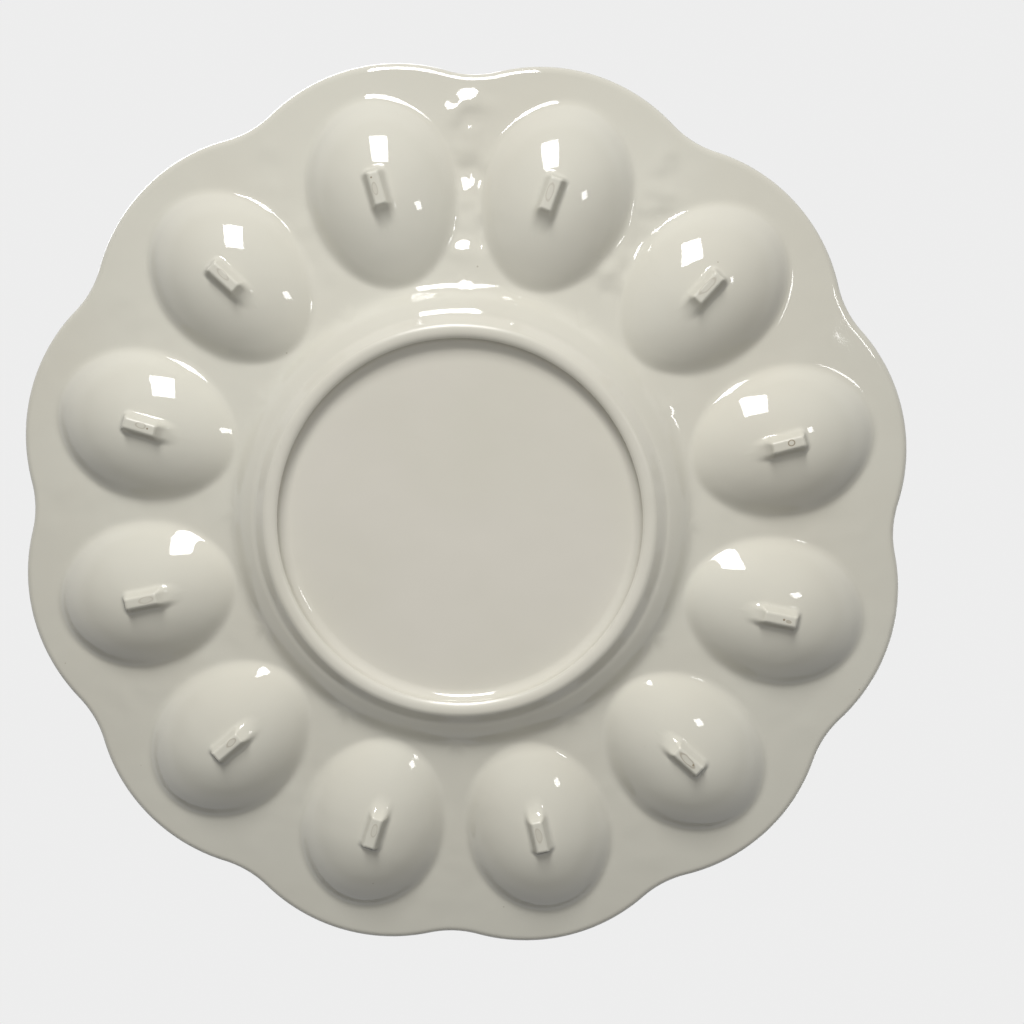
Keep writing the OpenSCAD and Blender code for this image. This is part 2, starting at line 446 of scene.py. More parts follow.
    def crease(self, towards):
        """How far from the well's middle the egg body leaves the plain underside."""
        low, high = 0.0, WELL_SPREAD
        for _ in range(30):
            far = (low + high) / 2
            x, y = self.well.reach + far * towards[0], far * towards[1]
            if self.egg(x, y) < self.plain_under(hypot(x, y)):
                low = far
            else:
                high = far
        return low

    def spokes(self):
        """Lines from a well's middle to its border: direction, crease and length."""
        lines = []
        for x, y in self.border():
            far = hypot(x - self.well.reach, y)
            towards = ((x - self.well.reach) / far, y / far)
            lines.append((towards, self.crease(towards), far))
        return lines

    def on_spoke(self, towards, distances):
        """Places on such a line at these distances from the well's middle."""
        return [(self.well.reach + far * towards[0], far * towards[1]) for far in distances]


def make_form(context):
    return Form(context.scene.platter_sizes, context.scene.well_sizes)


def lay(rows, i, height):
    """Ring through place i of every row, laid on a surface."""
    return [(*row[i], height(*row[i])) for row in rows]


def deselect():
    if bpy.context.object and bpy.context.object.mode != "OBJECT":
        bpy.ops.object.mode_set(mode="OBJECT")
    bpy.ops.object.select_all(action="DESELECT")


def edit_all():
    """Opens the active piece for editing, with all of it selected."""
    bpy.ops.object.mode_set(mode="EDIT")
    bpy.ops.mesh.select_all(action="SELECT")


def close_end(level):
    """Closes the tube's end at this height with faces round one middle point."""
    bpy.ops.mesh.select_all(action="DESELECT")
    bpy.ops.object.mode_set(mode="OBJECT")
    mesh = bpy.context.object.data
    for vertex in mesh.vertices:
        vertex.select = abs(vertex.co.z - level) < TUBE_STEP / 5
    bpy.ops.object.mode_set(mode="EDIT")
    bpy.ops.mesh.edge_face_add()
    bpy.ops.mesh.poke()


def pull_tube(name, rings, start=None, end=None, hidden=()):
    """Pulls a tube from a circle and lays ring after ring on the form.

    start and end are the middle points of its closed ends, where it has them.
    Faces that start at a ring listed as hidden lie inside the casting.
    """
    sides = len(rings[0])
    move = {"value": (0, 0, TUBE_STEP)}
    deselect()
    bpy.ops.mesh.primitive_circle_add(vertices=sides, radius=TUBE_RADIUS)
    piece = bpy.context.object
    piece.name = piece.data.name = name
    edit_all()
    for _ in rings[1:]:
        bpy.ops.mesh.extrude_region_move(TRANSFORM_OT_translate=move)
    if end is not None:
        close_end((len(rings) - 1) * TUBE_STEP)
    if start is not None:
        close_end(0)
    bpy.ops.object.mode_set(mode="OBJECT")
    mesh = piece.data
    first = atan2(mesh.vertices[0].co.y, mesh.vertices[0].co.x)
    level = [round(vertex.co.z / TUBE_STEP) for vertex in mesh.vertices]
    for polygon in mesh.polygons:
        levels = sorted({level[i] for i in polygon.vertices})
        polygon.use_smooth = len(levels) == 1 or levels[0] not in hidden
        if len(levels) == 1 and end is not None and levels[0] and len(rings) in hidden:
            polygon.use_smooth = False
    for vertex, ring in zip(mesh.vertices, level):
        if hypot(vertex.co.x, vertex.co.y) < TUBE_RADIUS / 2:
            vertex.co = start if ring == 0 else end
        else:
            turn = (atan2(vertex.co.y, vertex.co.x) - first) / (2 * pi) * sides
            vertex.co = rings[ring][floor(turn + 0.5) % sides]
    return piece


def turn_profile(name, profile):
    """Draws a profile point by point and turns it round the platter's axis."""
    deselect()
    bpy.ops.mesh.primitive_plane_add(size=0.001)
    piece = bpy.context.object
    piece.name = piece.data.name = name
    edit_all()
    bpy.ops.mesh.merge(type="CENTER")
    bpy.ops.transform.translate(value=(profile[0][0], 0, profile[0][1]))
    last = profile[0]
    for point in profile[1:]:
        move = (point[0] - last[0], 0, point[1] - last[1])
        bpy.ops.mesh.extrude_vertices_move(TRANSFORM_OT_translate={"value": move})
        last = point
    bpy.ops.mesh.select_all(action="SELECT")
    bpy.ops.mesh.spin(
        steps=WELLS * ARC_STEPS, angle=2 * pi, center=(0, 0, 0), axis=(0, 0, 1)
    )
    bpy.ops.mesh.select_all(action="SELECT")
    bpy.ops.mesh.remove_doubles(threshold=SAME_PLACE)
    bpy.ops.mesh.normals_make_consistent(inside=False)
    bpy.ops.object.mode_set(mode="OBJECT")
    return piece


def outward(piece):
    """Turns all faces outwards."""
    deselect()
    bpy.context.view_layer.objects.active = piece
    piece.select_set(True)
    edit_all()
    bpy.ops.mesh.normals_make_consistent(inside=False)
    bpy.ops.object.mode_set(mode="OBJECT")


def show_faces(piece, visible):
    """Smooths the faces that show; the ones inside the casting stay flat."""
    for polygon in piece.data.polygons:
        polygon.use_smooth = visible(polygon.center, polygon.normal)


def glaze(piece, node, material):
    """Gives a finished piece its glaze and its place in the platter."""
    piece.data.materials.clear()
    piece.data.materials.append(material)
    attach(piece, "root")
    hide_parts(node)


def copy_round(first, name, k):
    """Copies a piece of the first well to well k, with a mesh of its own."""
    piece = bpy.data.objects.new(name, first.data.copy())
    piece.data.name = name
    bpy.context.scene.collection.objects.link(piece)
    piece.data.transform(Matrix.Rotation(k * PITCH, 4, "Z"))
    return piece


def face_sums(mesh):
    """Sum of the visible faces' directions at each vertex."""
    sums = [Vector() for _ in mesh.vertices]
    for polygon in mesh.polygons:
        if polygon.use_smooth:
            for i in polygon.vertices:
                sums[i] += polygon.normal * polygon.area
    return sums


def set_directions(mesh, sums):
    """Shades the visible faces by the given directions."""
    directions = [Vector()] * len(mesh.loops)
    for polygon in mesh.polygons:
        for i in polygon.loop_indices:
            shown = sums[mesh.loops[i].vertex_index]
            if polygon.use_smooth and shown.length_squared > 0:
                directions[i] = shown.normalized()
            else:
                directions[i] = polygon.normal.copy()
    mesh.normals_split_custom_set(directions)


def blend_seams(pieces):
    """Shades the pieces across their seams, as one casting."""
    all_sums = [face_sums(piece.data) for piece in pieces]
    seams = []
    for number, piece in enumerate(pieces):
        flat, smooth = set(), set()
        for polygon in piece.data.polygons:
            (smooth if polygon.use_smooth else flat).update(polygon.vertices)
        seams += [(number, i) for i in sorted(flat & smooth)]
    tree = kdtree.KDTree(len(seams))
    for index, (number, i) in enumerate(seams):
        tree.insert(pieces[number].data.vertices[i].co, index)
    tree.balance()
    joined = []
    for number, i in seams:
        place = pieces[number].data.vertices[i].co
        total = Vector()
        for _, index, _ in tree.find_range(place, SEAM_REACH):
            other, j = seams[index]
            total += all_sums[other][j]
        joined.append(total)
    for (number, i), total in zip(seams, joined):
        all_sums[number][i] = total
    for piece, sums in zip(pieces, all_sums):
        set_directions(piece.data, sums)


def rounded(points, steps):
    """Path whose corners are rounded: each point is (r, z, radius)."""
    path = [points[0][:2]]
    for before, here, after in zip(points, points[1:], points[2:]):
        corner = Vector(here[:2])
        if here[2] == 0:
            path.append(tuple(corner))
            continue
        back = (Vector(before[:2]) - corner).normalized()
        on = (Vector(after[:2]) - corner).normalized()
        half = acos(max(-1, min(1, back.dot(on)))) / 2
        middle = corner + (back + on).normalized() * here[2] / sin(half)
        reach = here[2] / tan(half)
        a, b = corner + back * reach - middle, corner + on * reach - middle
        swing = a.angle(b)
        for i in range(steps + 1):
            t = i / steps
            arm = (a * sin(swing * (1 - t)) + b * sin(swing * t)) / sin(swing)
            path.append(tuple(middle + arm))
    path.append(points[-1][:2])
    return path


class BuildFloor(bpy.types.Operator):
    """Builds the floor of the centre dish"""

    bl_idname = "platter.build_floor"
    bl_label = "Floor"

    def execute(self, context):
        sizes, ring = context.scene.platter_sizes, context.scene.ring_sizes
        low, high = sizes.floor_rise, sizes.floor_rise + sizes.floor_thickness
        out = sizes.floor_radius
        under_steps, over_steps = 14, 16
        under = [(ring.start * i / under_steps, low) for i in range(under_steps + 1)]
        over = [(out * i / over_steps, high) for i in range(over_steps, -1, -1)]
        step = [(ring.start, low + HIDDEN_STEP), (out, low + HIDDEN_STEP)]
        piece = turn_profile("glazed_floor", under + step + over)
        show_faces(
            piece,
            lambda centre, normal: abs(normal.z) > UPRIGHT
            and (normal.z > 0 or centre.z < low + HIDDEN_STEP / 10),
        )
        glaze(piece, "center_floor", ivory_glaze())
        return {"FINISHED"}


class BuildRing(bpy.types.Operator):
    """Builds the foot ring"""

    bl_idname = "platter.build_ring"
    bl_label = "Foot ring"

    def execute(self, context):
        sizes, ring = context.scene.platter_sizes, context.scene.ring_sizes
        base, form = sizes.floor_rise, make_form(context)
        crest = form.plain_under(ring.inner_edge)
        # From here on the path lies on the form
        near = ring.inner_edge + 0.0005
        corners = (
            (ring.start, base, 0),
            (ring.inner_foot, base, ring.cove),
            (ring.inner_edge, crest, ring.inner_round),
            (near, form.plain_under(near), 0),
        )
        path = rounded(corners, steps=9)
        steps = 34
        for i in range(1, steps + 1):
            r = near + (sizes.floor_radius - near) * i / steps
            path.append((r, form.plain_under(r)))
        over = base + HIDDEN_STEP
        cover = [(sizes.floor_radius, over), (ring.start, over)]
        piece = turn_profile("glazed_ring", path + cover + path[:1])
        show_faces(
            piece,
            lambda centre, normal: normal.z < -UPRIGHT
            and centre.z < base + HIDDEN_STEP / 10,
        )
        glaze(piece, "foot_ring", ivory_glaze())
        return {"FINISHED"}


class BuildWall(bpy.types.Operator):
    """Builds the curved wall of the dish"""

    bl_idname = "platter.build_wall"
    bl_label = "Dish wall"

    def execute(self, context):
        sizes = context.scene.platter_sizes
        form = make_form(context)
        start, width, steps = sizes.floor_radius, sizes.split - sizes.floor_radius, 20
        radii = [start + width * i / steps for i in range(steps + 1)]
        under = [(r, form.plain_under(r)) for r in radii]
        over = [(r, form.plain_top(r)) for r in reversed(radii)]
        piece = turn_profile("glazed_wall", under + over + under[:1])
        show_faces(piece, lambda centre, normal: abs(normal.z) > UPRIGHT)
        glaze(piece, "cavetto", ivory_glaze())
        return {"FINISHED"}


class BuildFlange(bpy.types.Operator):
    """Builds the flange with its twelve seats"""

    bl_idname = "platter.build_flange"
    bl_label = "Flange"

    def execute(self, context):
        form = make_form(context)
        rows = [form.on_spoke(spoke[0], self.distances(*spoke[1:])) for spoke in form.spokes()]
        count = len(rows[0])
        rings = [lay(rows, i, form.under) for i in reversed(range(count))]
        rings += [lay(rows, i, form.top) for i in range(count)]
        piece = pull_tube("glazed_flange", rings, hidden=(count - 1,))
        piece.data.transform(Matrix.Rotation(PITCH / 2, 4, "Z"))
        edit_all()
        bpy.ops.mesh.spin(
            steps=WELLS - 1, dupli=True, angle=2 * pi - PITCH,
            center=(0, 0, 0), axis=(0, 0, 1),
        )
        bpy.ops.mesh.select_all(action="SELECT")
        bpy.ops.mesh.remove_doubles(threshold=SAME_PLACE)
        middle = (form.sizes.split + form.well.reach) / 2
        for far in (True, False):
            self.close_border(piece.data, middle, far)
        bpy.ops.object.mode_set(mode="OBJECT")
        outward(piece)
        uneven = piece.data.attributes.new("uneven", "FLOAT", "POINT")
        for vertex, item in zip(piece.data.vertices, uneven.data):
            item.value = self.unevenness(form, *vertex.co)
        glaze(piece, "flange", ivory_glaze())
        return {"FINISHED"}

    def distances(self, crease, far):
        """Distances from the crease to the border: close ones, then even ones."""
        close = (0.0, 0.0005, 0.001, 0.0016, 0.0023, 0.0031)
        # The close ones take up this share of the way at most
        most, steps = 0.55, 9
        gap = far - crease
        fit = min(1, most * gap / close[-1])
        start = close[-1] * fit
        near = [crease + offset * fit for offset in close]
        even = [crease + start + (gap - start) * i / steps for i in range(1, steps + 1)]
        return near + even

    def close_border(self, mesh, middle, far):
        """Joins underside and top along the outer border, or the inner one."""
        bpy.ops.mesh.select_all(action="DESELECT")
        bpy.ops.mesh.select_non_manifold()
        bpy.ops.object.mode_set(mode="OBJECT")
        for vertex in mesh.vertices:
            if (hypot(vertex.co.x, vertex.co.y) > middle) != far:
                vertex.select = False
        for edge in mesh.edges:
            edge.select = all(mesh.vertices[i].select for i in edge.vertices)
        bpy.ops.object.mode_set(mode="EDIT")
        bpy.ops.mesh.bridge_edge_loops()
        bpy.ops.mesh.faces_shade_flat()

    def unevenness(self, form, x, y, z):
        """How uneven the underside is: most on the middle line between two wells."""
        r = hypot(x, y)
        if z >= form.flange(r) + form.sizes.flange_thickness / 3:
            return 0.0
        turn = atan2(y, x) / PITCH
        gap = floor(turn + 0.5)
        aside = r * abs(sin((turn - gap) * PITCH))
        inner, outer, fade, half_width = 0.083, 0.146, 0.008, 0.012
        along = eased((r - inner) / fade) * eased((outer - r) / fade)
        return GAP_WAVES[gap % WELLS] * along * eased(1 - aside / half_width)


class BuildRim(bpy.types.Operator):
    """Builds the rounded, scalloped lip"""

    bl_idname = "platter.build_rim"
    bl_label = "Rim"

    def execute(self, context):
        sizes = context.scene.platter_sizes
        form = make_form(context)
        half, steps = sizes.flange_thickness / 2, 12
        # The lip stays this far inside the lobed edge
        spare = 0.0001
        rings = []
        for j in range(steps + 1):
            swing = pi * j / steps - pi / 2
            out = cos(swing) if 0 < j < steps else 0
            ring = []
            for k in range(WELLS):
                turn = PITCH / 2 + k * PITCH
                for i in range(EDGE_STEPS):
                    part = 2 * i / EDGE_STEPS - 1
                    seam = form.edge(part, sizes.lip_width)
                    edge = form.edge(part, spare)
                    x = seam[0] + (edge[0] - seam[0]) * out
                    y = seam[1] + (edge[1] - seam[1]) * out
                    z = form.flange(hypot(*seam)) + half * (1 + sin(swing))
                    ring.append(
                        (x * cos(turn) - y * sin(turn), x * sin(turn) + y * cos(turn), z)
                    )
            rings.append(ring)
        piece = pull_tube("glazed_rim", rings)
        bpy.ops.object.mode_set(mode="EDIT")
        bpy.ops.mesh.select_all(action="DESELECT")
        bpy.ops.mesh.select_non_manifold()
        bpy.ops.mesh.bridge_edge_loops()
        bpy.ops.mesh.faces_shade_flat()
        bpy.ops.object.mode_set(mode="OBJECT")
        outward(piece)
        glaze(piece, "rim_edge", ivory_glaze())
        return {"FINISHED"}


class BuildWells(bpy.types.Operator):
    """Builds one egg well and copies it round the platter"""

    bl_idname = "platter.build_wells"
    bl_label = "Egg wells"

    def execute(self, context):
        form = make_form(context)
        reach = form.well.reach
        # Even steps from the middle, and closer ones near the crease
        steps, close = 13, 0.0046
        near = (0.0039, 0.0032, 0.0026, 0.002, 0.0015, 0.001, 0.0005, 0)
        rows = []
        for towards, crease, _ in form.spokes():
            out = [(crease - close) * (i + 1) / steps for i in range(steps)]
            out += [crease - distance for distance in near]
            rows.append(form.on_spoke(towards, out))
        count = len(rows[0])
        rings = [lay(rows, i, form.under) for i in range(count)]
        rings += [lay(rows, i, form.top) for i in reversed(range(count))]
        piece = pull_tube(
            "glazed_well_01",
            rings,
            start=(reach, 0, form.under(reach, 0)),
            end=(reach, 0, form.top(reach, 0)),
            hidden=(count - 1,),
        )
        piece.data.transform(Matrix.Rotation(PITCH / 2, 4, "Z"))
        outward(piece)
        glaze(piece, "egg_well_01", ivory_glaze())
        for k in range(1, WELLS):
            copied = copy_round(piece, f"glazed_well_{k + 1:02d}", k)
            glaze(copied, f"egg_well_{k + 1:02d}", ivory_glaze())
        return {"FINISHED"}


def foot_rays(half_length, half_width, corner):
    """Start and direction of the lines that run down a foot from its face."""
    rays = []
    corners = (
        (half_length, half_width, 0),
        (-half_length, half_width, pi / 2),
        (-half_length, -half_width, pi),
        (half_length, -half_width, 3 * pi / 2),
    )
    corner_steps, side_steps = 6, (10, 6, 10, 6)
    for i in range(4):
        x, y, start = corners[i]
        for step in range(corner_steps + 1):
            turn = start + pi / 2 * step / corner_steps
            towards = (cos(turn), sin(turn))
            rays.append((x + corner * towards[0], y + corner * towards[1], *towards))
        a, towards = rays[-1][:2], rays[-1][2:]
        x, y, start = corners[(i + 1) % 4]
        b = (x + corner * cos(start), y + corner * sin(start))
        for step in range(1, side_steps[i]):
            t = step / side_steps[i]
            rays.append((a[0] + (b[0] - a[0]) * t, a[1] + (b[1] - a[1]) * t, *towards))
    return rays


def foot_height(foot, x, y):
    """Height of a foot's surface, without its well: flat face, sides, hollow end."""
    side = (abs(y) - foot.width / 2) / tan(foot.side_draft)
    if x > 0:
        end = (x - foot.length / 2) / tan(foot.end_draft)
    else:
        out = -x - foot.length / 2
        radius, lead = foot.sweep_radius, foot.sweep_lead
        if out < 0:
            end = out / tan(lead)
        else:
            # The hollow is round and runs out in a straight slope
            last = radius * (cos(lead) - sin(foot.sweep_end))
            arm = radius * cos(lead) - min(out, last)
            end = sqrt(radius * radius - arm * arm) - radius * sin(lead)
            end += max(out - last, 0) * tan(foot.sweep_end)
    box = hypot(max(side, 0), max(end, 0)) + min(max(side, end), 0)
    return -lower(-box, 0, foot.edge_soft)


def foot_end(foot, form, ray, placed):
    """How far a line runs down a foot before the foot has blended into its well."""
    low, high = 0.0, FOOT_SPREAD
    for _ in range(24):
        far = (low + high) / 2
        x, y = ray[0] + far * ray[2], ray[1] + far * ray[3]
        if foot_height(foot, x, y) < form.under(*placed(x, y)) + foot.base_soft:
            low = far
        else:
            high = far
    return high


def foot_column(foot, form, ray, placed):
    """Points along a line of a foot, from near its middle down to its well."""
    # Close steps over the face's rounded edge, in millimetres, then even ones
    close = (0, 0.3, 0.5, 0.7, 0.9, 1.1, 1.3, 1.5, 1.8, 2.1)
    far = [offset / 1000 for offset in close]
    start, steps = far[-1], 14
    end = foot_end(foot, form, ray, placed)
    far += [start + (end - start) * i / steps for i in range(1, steps + 1)]
    places = [(ray[0] * part, ray[1] * part) for part in (0.35, 0.7)]
    places += [(ray[0] + d * ray[2], ray[1] + d * ray[3]) for d in far]
    column = []
    for x, y in places:
        z = foot_height(foot, x, y)
        x, y = placed(x, y)
        column.append((x, y, lower(z, form.under(x, y), foot.base_soft)))
    # The last point lies on the well
    x, y, _ = column[-1]
    column[-1] = (x, y, form.under(x, y))
    return column


def mark_face(piece, reach, mark, speck):
    """Stores where the pin's mark and the speck lie, for the glaze to read."""
    mark_x, mark_y, half_length, half_width, fill, dark = mark
    speck_x, speck_y, radius = speck
    marks = piece.data.uv_layers.new(name="pin_mark")
    specks = piece.data.uv_layers.new(name="pin_speck")
    for loop in piece.data.loops:
        place = piece.data.vertices[loop.vertex_index].co
        x, y = (place.x - reach) * 1000, place.y * 1000
        marks.data[loop.index].uv = ((x - mark_x) / half_length, (y - mark_y) / half_width)
        specks.data[loop.index].uv = ((x - speck_x) / radius, (y - speck_y) / radius)
    for name, value in (("pin_fill", fill), ("pin_dark", dark)):
        for item in piece.data.attributes.new(name, "FLOAT", "POINT").data:
            item.value = value


class BuildFeet(bpy.types.Operator):
    """Builds the small foot under each well"""

    bl_idname = "platter.build_feet"
    bl_label = "Well feet"

    def execute(self, context):
        foot = context.scene.foot_sizes
        form = make_form(context)
        for k in range(WELLS):
            self.build(k, foot, form)
        return {"FINISHED"}

    def build(self, k, foot, form):
        out, aside, turn = FOOT_PLACES[k]
        middle, aside, turn = foot.reach + out / 1000, aside / 1000, radians(turn)

        def placed(x, y):
            """Place in the well's frame of a place on the foot."""
            return (
                middle + x * cos(turn) - y * sin(turn),
                aside + x * sin(turn) + y * cos(turn),
            )

        # The lines start this far inside the face's edge, at small round corners
        inset, corner = 0.0015, 0.0003
        rays = foot_rays(foot.length / 2 - inset, foot.width / 2 - inset, corner)
        columns = [foot_column(foot, form, ray, placed) for ray in rays]
        rings = [[column[i] for column in columns] for i in range(len(columns[0]))]
        base = rings[-1]
        rings.append([(x, y, z + FOOT_SINK) for x, y, z in base])
        last = len(rings) - 1
        x, y = placed(0, 0)
        piece = pull_tube(
            f"glazed_foot_{k + 1:02d}",
            rings,
            start=(x, y, 0),
            end=(x, y, form.under(x, y) + FOOT_SINK),
            hidden=(last - 1, last + 1),
        )
        mark_face(piece, foot.reach, PIN_MARKS[k], SPECKS.get(k + 1, NO_SPECK))
        outward(piece)
        # Along its base the foot is shaded as its well is
        sums = face_sums(piece.data)
        on_well = {tuple(round(c, 7) for c in place) for place in base}
        for vertex in piece.data.vertices:
            if tuple(round(c, 7) for c in vertex.co) in on_well:
                sums[vertex.index] = form.under_normal(vertex.co.x, vertex.co.y)
        set_directions(piece.data, sums)
        piece.data.transform(Matrix.Rotation(PITCH / 2 + k * PITCH, 4, "Z"))
        glaze(piece, f"well_foot_{k + 1:02d}", foot_glaze())


class BlendCasting(bpy.types.Operator):
    """Blends the shading across the seams of the casting"""

    bl_idname = "platter.blend_casting"
    bl_label = "Blend seams"

    def execute(self, context):
        names = ["glazed_floor", "glazed_ring", "glazed_wall", "glazed_flange", "glazed_rim"]
        names += [f"glazed_well_{k + 1:02d}" for k in range(WELLS)]
        missing = [name for name in names if name not in bpy.data.objects]
        if missing:
            raise RuntimeError(f"these pieces are not built yet: {missing}")
        blend_seams([bpy.data.objects[name] for name in names])
        return {"FINISHED"}


def feed(tree, value, socket):
    """Feeds a node's socket from another socket, or sets it to a plain value."""
    if isinstance(value, bpy.types.NodeSocket):
        tree.links.new(value, socket)
    else:
        socket.default_value = value


def add_math(tree, operation, *values):
    """Result of a Math node."""
    node = tree.nodes.new("ShaderNodeMath")
    node.operation = operation
    for value, socket in zip(values, node.inputs):
        feed(tree, value, socket)
    return node.outputs["Value"]


def add_ramp(tree, value, start, end, low=0, high=1, smooth=False):
    """Goes from low where value is start to high where it is end."""
    node = tree.nodes.new("ShaderNodeMapRange")
    node.interpolation_type = "SMOOTHSTEP" if smooth else "LINEAR"
    feed(tree, value, node.inputs["Value"])
    feed(tree, start, node.inputs["From Min"])
    feed(tree, end, node.inputs["From Max"])
    feed(tree, low, node.inputs["To Min"])
    feed(tree, high, node.inputs["To Max"])
    return node.outputs["Result"]


def add_mix(tree, part, a, b):
    """Colour a with this part of colour b in it."""
    node = tree.nodes.new("ShaderNodeMix")
    node.data_type = "RGBA"
    feed(tree, part, node.inputs["Factor"])
    feed(tree, a, node.inputs["A"])
    feed(tree, b, node.inputs["B"])
    return node.outputs["Result"]


def add_noise(tree, place, scale, detail):
    node = tree.nodes.new("ShaderNodeTexNoise")
    node.inputs["Scale"].default_value = scale
    node.inputs["Detail"].default_value = detail
    tree.links.new(place, node.inputs["Vector"])
    return node.outputs["Fac"]


def add_length(tree, vector):
    node = tree.nodes.new("ShaderNodeVectorMath")
    node.operation = "LENGTH"
    tree.links.new(vector, node.inputs[0])
    return node.outputs["Value"]


def add_height(tree, place):
    """Upright share of a place or a direction."""
    node = tree.nodes.new("ShaderNodeSeparateXYZ")
    tree.links.new(place, node.inputs["Vector"])
    return node.outputs["Z"]


def add_stored(tree, name):
    """Value that the mesh stores under this name, or 0 where it stores none."""
    node = tree.nodes.new("ShaderNodeAttribute")
    node.attribute_name = name
    return node.outputs["Fac"]


def object_place(tree):
    return tree.nodes.new("ShaderNodeTexCoord").outputs["Object"]


def glaze_surface():
    """Node group with the masks of the glaze's colours and the slope of its waves."""
    name = "glaze_surface"
    if name in bpy.data.node_groups:
        return bpy.data.node_groups[name]
    tree = bpy.data.node_groups.new(name, "ShaderNodeTree")
    tree.interface.new_socket("Height", in_out="INPUT", socket_type="NodeSocketFloat")
    for mask in ("Pooled", "Specks", "Outward"):
        tree.interface.new_socket(mask, in_out="OUTPUT", socket_type="NodeSocketFloat")
    tree.interface.new_socket("Normal", in_out="OUTPUT", socket_type="NodeSocketVector")
    waves_height = tree.nodes.new("NodeGroupInput").outputs["Height"]
    result = tree.nodes.new("NodeGroupOutput").inputs
    place = object_place(tree)

    # Slow clouds where the glaze lies thicker
    clouds = add_noise(tree, place, scale=14, detail=3)
    tree.links.new(add_ramp(tree, clouds, 0.42, 0.72), result["Pooled"])

    # Dark specks of half a millimetre: only where the middle of one of the cells,
    # which are about 16 mm wide, lies in the surface
    cells = tree.nodes.new("ShaderNodeTexVoronoi")
    cells.inputs["Scale"].default_value = 62
    tree.links.new(place, cells.inputs["Vector"])
    tiny = add_ramp(tree, cells.outputs["Distance"], 0.024, 0.012)
    tree.links.new(tiny, result["Specks"])

    # From the floor of the dish outwards, over the foot ring
    level = tree.nodes.new("ShaderNodeVectorMath")
    level.operation = "MULTIPLY"
    level.inputs[1].default_value = (1, 1, 0)
    tree.links.new(place, level.inputs[0])
    radius = add_length(tree, level.outputs["Vector"])
    tree.links.new(add_ramp(tree, radius, 0.048, 0.075), result["Outward"])

    # Slow waves of the surface, much higher where the flange is uneven
    uneven_height = 0.0022
    bump = tree.nodes.new("ShaderNodeBump")
    tree.links.new(add_noise(tree, place, scale=75, detail=1), bump.inputs["Height"])
    uneven = add_stored(tree, "uneven")
    height = add_math(tree, "MULTIPLY_ADD", uneven, uneven_height, waves_height)
    tree.links.new(height, bump.inputs["Distance"])
    tree.links.new(bump.outputs["Normal"], result["Normal"])
    return tree


def pin_marks():
    """Node group with the bare places that a kiln pin left on a resting face."""
    name = "pin_marks"
    if name in bpy.data.node_groups:
        return bpy.data.node_groups[name]
    tree = bpy.data.node_groups.new(name, "ShaderNodeTree")
    tree.interface.new_socket("Bare", in_out="OUTPUT", socket_type="NodeSocketFloat")
    result = tree.nodes.new("NodeGroupOutput").inputs
    place = object_place(tree)
    ragged = add_noise(tree, place, scale=450, detail=0)

    def distance(layer, unevenness):
        """Distance from a mark's middle, in the mark's own half lengths."""
        plan = tree.nodes.new("ShaderNodeUVMap")
        plan.uv_map = layer
        far = add_length(tree, plan.outputs["UV"])
        return add_math(tree, "MULTIPLY_ADD", ragged, unevenness, far)

    # An oval outline, filled in part
    far = distance("pin_mark", 0.4)
    outline = add_math(
        tree, "MAXIMUM", add_ramp(tree, far, 0.85, 1.1), add_stored(tree, "pin_fill")
    )
    oval = add_math(tree, "MULTIPLY", outline, add_ramp(tree, far, 1.4, 1.2))
    mark = add_math(tree, "MULTIPLY", oval, add_stored(tree, "pin_dark"))
    speck = add_ramp(tree, distance("pin_speck", 0.8), 1.5, 1.1)
    # Both only where the foot rests
    resting = add_ramp(tree, add_height(tree, place), 0.0005, 0.0002)
    both = add_math(tree, "MAXIMUM", mark, speck)
    tree.links.new(add_math(tree, "MULTIPLY", both, resting), result["Bare"])
    return tree


def mix_glaze(name, marked):
    """Ivory glaze over pale clay; marked adds the bare places of the kiln pins."""
    if name in bpy.data.materials:
        return bpy.data.materials[name]
    looks = bpy.context.scene.glaze_looks
    material = bpy.data.materials.new(name)
    material.use_nodes = True
    material.diffuse_color = looks.color
    tree = material.node_tree
    shader = tree.nodes["Principled BSDF"]
    shader.inputs["IOR"].default_value = 1.5
    surface = tree.nodes.new("ShaderNodeGroup")
    surface.node_tree = glaze_surface()
    surface.inputs["Height"].default_value = looks.waves
    masks = surface.outputs
    color = add_mix(tree, masks["Outward"], looks.color, looks.outer)
    color = add_mix(tree, masks["Pooled"], color, looks.pooled)
    speck_strength = 0.5
    specks = add_math(tree, "MULTIPLY", masks["Specks"], speck_strength)
    color = add_mix(tree, specks, color, looks.bare)
    # Worn rougher where the platter rests
    height = add_height(tree, object_place(tree))
    roughness = add_ramp(tree, height, 0.0013, 0.0004, looks.roughness, looks.worn)
    if marked:
        marks = tree.nodes.new("ShaderNodeGroup")
        marks.node_tree = pin_marks()
        bare = marks.outputs["Bare"]
        color = add_mix(tree, bare, color, looks.bare)
        roughness = add_ramp(tree, bare, 0, 1, roughness, looks.bare_roughness)
    tree.links.new(color, shader.inputs["Base Color"])
    tree.links.new(roughness, shader.inputs["Roughness"])
    tree.links.new(masks["Normal"], shader.inputs["Normal"])
    return material


def ivory_glaze():
    return mix_glaze("glazed_ivory", marked=False)


def foot_glaze():
    return mix_glaze("foot_glaze", marked=True)


